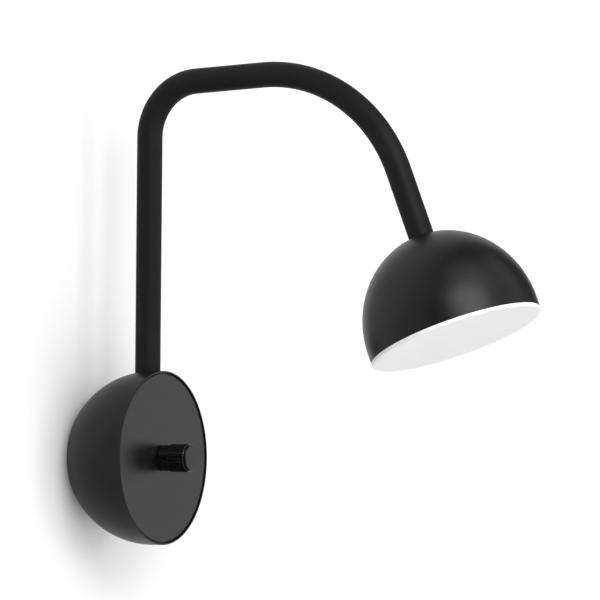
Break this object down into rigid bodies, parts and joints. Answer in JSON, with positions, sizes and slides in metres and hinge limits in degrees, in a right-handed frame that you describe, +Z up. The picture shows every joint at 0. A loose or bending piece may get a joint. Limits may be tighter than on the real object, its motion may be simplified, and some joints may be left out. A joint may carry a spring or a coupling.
{
  "type": "wall sconce",
  "caption": "Wall light with a domed base, a dimmer knob on its front plate, a bent tube arm that swivels and a domed head with an opal disc facing down.",
  "frame": {"origin": "centre of the wall bracket's screw slots, on the wall", "axes": "+Y into the wall, +Z up, the light stands out towards -Y with its arm in the plane x = 0"},
  "size_m": [0.13, 0.3668, 0.359],
  "materials": {
    "shell_coat": "fine matte powder coat, near black",
    "tube_coat": "fine matte powder coat, near black",
    "plate_coat": "satin coat, dark grey-black",
    "knob_plastic": "moulded, semi-gloss black",
    "knob_cap": "satin black",
    "opal": "opal acrylic, satin face",
    "zinc_steel": "zinc plated",
    "aluminium": "plain, matt",
    "brass": "machined",
    "nylon": "natural nylon",
    "fibre": "vulcanised fibre",
    "grommet_rubber": "soft rubber",
    "driver_case": "moulded white",
    "block_plastic": "moulded, off-white",
    "board": "green solder mask",
    "board_white": "white solder mask",
    "chip": "phosphor-filled resin",
    "reflector_white": "white",
    "lead_grey": "silicone insulation",
    "spring_steel": "blued spring steel"
  },
  "bodies": {
    "base": {"wall_bracket": "zinc_steel", "wall_grommet": "grommet_rubber", "base_shell": "shell_coat", "lock_screw": "zinc_steel", "chassis_plate": "zinc_steel", "chassis_screws": "zinc_steel", "leg_bracket": "zinc_steel", "leg_bracket_screws": "zinc_steel", "upper_bush": "nylon", "front_plate": "plate_coat", "dimmer_bridge": "zinc_steel", "bridge_screws": "zinc_steel", "dimmer_body": "zinc_steel", "dimmer_washer": "zinc_steel", "dimmer_nut": "brass", "control_board": "board", "led_driver": "driver_case", "driver_screws": "zinc_steel", "terminal_block": "block_plastic", "terminal_screws": "brass", "earth_lug": "brass", "earth_screw": "brass", "mains_leads": "lead_grey", "control_lead": "lead_grey", "base_lead": "lead_grey"},
    "arm": {"arm_tube": "tube_coat", "leg_foot": "zinc_steel", "stop_pin": "zinc_steel", "friction_washer": "fibre", "spring_washer": "spring_steel", "retaining_nut": "zinc_steel", "arm_lead": "lead_grey", "head_insert": "zinc_steel", "head_nipple": "zinc_steel", "head_washer": "zinc_steel", "head_nut": "brass", "head_shell": "shell_coat", "led_carrier": "aluminium", "carrier_screws": "zinc_steel", "led_board": "board_white", "led_chips": "chip", "board_screws": "zinc_steel", "reflector": "reflector_white", "diffuser": "opal"},
    "knob": {"dimmer_shaft": "aluminium", "knob_insert": "brass", "knob_grip": "knob_plastic", "knob_cap": "knob_cap"}
  },
  "joints": [
    {"name": "arm_swivel", "type": "hinge", "parent": "base", "child": "arm", "pos_m": [0, -0.0463, 0.0325], "axis": [0, 0, 1], "range_deg": [-80, 80]},
    {"name": "dimmer_turn", "type": "hinge", "parent": "base", "child": "knob", "pos_m": [0, -0.061, 0], "axis": [0, 1, 0], "range_deg": [0, 270]}
  ]
}
